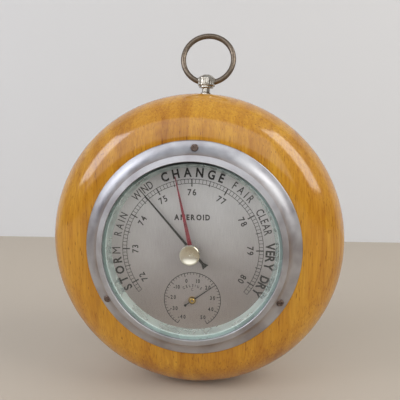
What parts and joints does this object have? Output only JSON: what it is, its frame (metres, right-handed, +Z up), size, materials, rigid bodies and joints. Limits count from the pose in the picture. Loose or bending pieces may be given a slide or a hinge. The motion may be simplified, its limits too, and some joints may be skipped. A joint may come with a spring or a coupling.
{
  "type": "aneroid barometer",
  "caption": "Round wooden wall barometer: silvered dial with thermometer under glass, red set hand, aluminium bezel, hanging ring, aneroid movement inside.",
  "frame": {"origin": "middle of the flat back face of the case, on the axis of the dial", "axes": "front of the dial faces -Y, +Z up to the top of the dial, +X to the right seen from the front"},
  "size_m": [0.16, 0.0589, 0.1933],
  "materials": {
    "beech": "honey beech, clear varnish",
    "fibreboard": "brown pressed board",
    "bezel_aluminium": "satin spun",
    "reflector": "polished",
    "screw_steel": "browned",
    "movement_steel": "plain",
    "glass": "clear",
    "dial": "silvered satin with printed scale",
    "brass": "lacquered",
    "capsule": "nickel silver",
    "spring_steel": "blued",
    "pointer_black": "black",
    "set_hand_red": "red",
    "knob": "pale, polished",
    "fibre": "vulcanised fibre",
    "nickel": "nickel plated",
    "ring_nickel": "tarnished nickel"
  },
  "bodies": {
    "case_body": {"wood_case": "beech", "back_cover": "fibreboard", "back_cover_screws": "screw_steel", "movement_pan": "brass", "bezel": "bezel_aluminium", "bezel_screws": "screw_steel", "glass": "glass", "reflector_ring": "reflector", "dial": "dial", "dial_feet": "brass", "dial_feet_screws": "movement_steel", "base_plate": "brass", "base_plate_screws": "movement_steel", "capsule_foot": "brass", "capsule_lower_diaphragm": "capsule", "capsule_upper_diaphragm": "capsule", "mainspring": "spring_steel", "mainspring_clamp": "brass", "mainspring_clamp_screws": "movement_steel", "rocking_shaft_cocks": "brass", "rocking_shaft_cock_screws": "movement_steel", "chain": "movement_steel", "bridge_pillars": "brass", "arbor_bridge": "brass", "arbor_bridge_screws": "movement_steel", "arbor_cock_pillars": "brass", "arbor_cock": "brass", "arbor_cock_screws": "movement_steel", "hairspring": "spring_steel", "hairspring_stud": "brass", "knob_washer": "fibre", "spring_washer": "movement_steel", "thermometer_bracket": "brass", "bimetal_coil": "brass", "thermometer_bush": "brass", "hanger_post": "nickel"},
    "lever": {"main_lever": "movement_steel", "main_lever_screws": "movement_steel", "link_rod": "movement_steel", "capsule_post": "movement_steel", "capsule_post_pin": "spring_steel"},
    "rocker": {"rocking_shaft": "movement_steel"},
    "pointer_assembly": {"pointer_arbor": "movement_steel", "chain_pulley": "brass", "hairspring_collet": "brass", "pointer": "pointer_black", "pointer_hub": "brass"},
    "set_hand_assembly": {"set_hand": "set_hand_red", "set_hand_stem": "knob", "set_hand_knob": "knob"},
    "thermometer_hand": {"thermometer_arbor": "movement_steel", "thermometer_hub": "brass", "thermometer_pointer": "pointer_black"},
    "adjuster": {"adjusting_screw": "movement_steel"},
    "ring": {"hanging_ring": "ring_nickel"}
  },
  "joints": [
    {"name": "pointer_turn", "type": "hinge", "parent": "case_body", "child": "pointer_assembly", "pos_m": [0, 0, 0], "axis": [0, 1, 0], "range_deg": [-88.7, 169.3], "stiffness_Nm_per_rad": 0.0005, "deforming": ["hairspring", "chain"]},
    {"name": "rocking_shaft_turn", "type": "hinge", "parent": "case_body", "child": "rocker", "pos_m": [0, -0.0242, -0.026], "axis": [1, 0, 0], "range_deg": [-17.13, 9.07]},
    {"name": "main_lever_tilt", "type": "hinge", "parent": "case_body", "child": "lever", "pos_m": [0, -0.019, 0.033], "axis": [1, 0, 0], "range_deg": [-0.5, 0.93], "deforming": ["mainspring", "capsule_upper_diaphragm"]},
    {"name": "set_hand_turn", "type": "hinge", "parent": "case_body", "child": "set_hand_assembly", "pos_m": [0, -0.055, 0], "axis": [0, 1, 0], "continuous": true},
    {"name": "thermometer_turn", "type": "hinge", "parent": "case_body", "child": "thermometer_hand", "pos_m": [0, -0.045, -0.026], "axis": [0, 1, 0], "range_deg": [-203.5, 94.5], "stiffness_Nm_per_rad": 0.0002, "deforming": ["bimetal_coil"]},
    {"name": "adjusting_screw_turn", "type": "hinge", "parent": "case_body", "child": "adjuster", "pos_m": [0, -0.006, 0.0305], "axis": [0, 1, 0], "range_deg": [-180, 180]},
    {"name": "ring_swing", "type": "hinge", "parent": "case_body", "child": "ring", "pos_m": [0.00539, -0.0215, 0.08563], "axis": [0.998, 0, -0.0628], "range_deg": [-95, 125]}
  ],
  "couplings": [
    {"joint": "rocking_shaft_turn", "follows": "pointer_turn", "ratio": -0.1},
    {"joint": "main_lever_tilt", "follows": "pointer_turn", "ratio": 0.0053571}
  ]
}
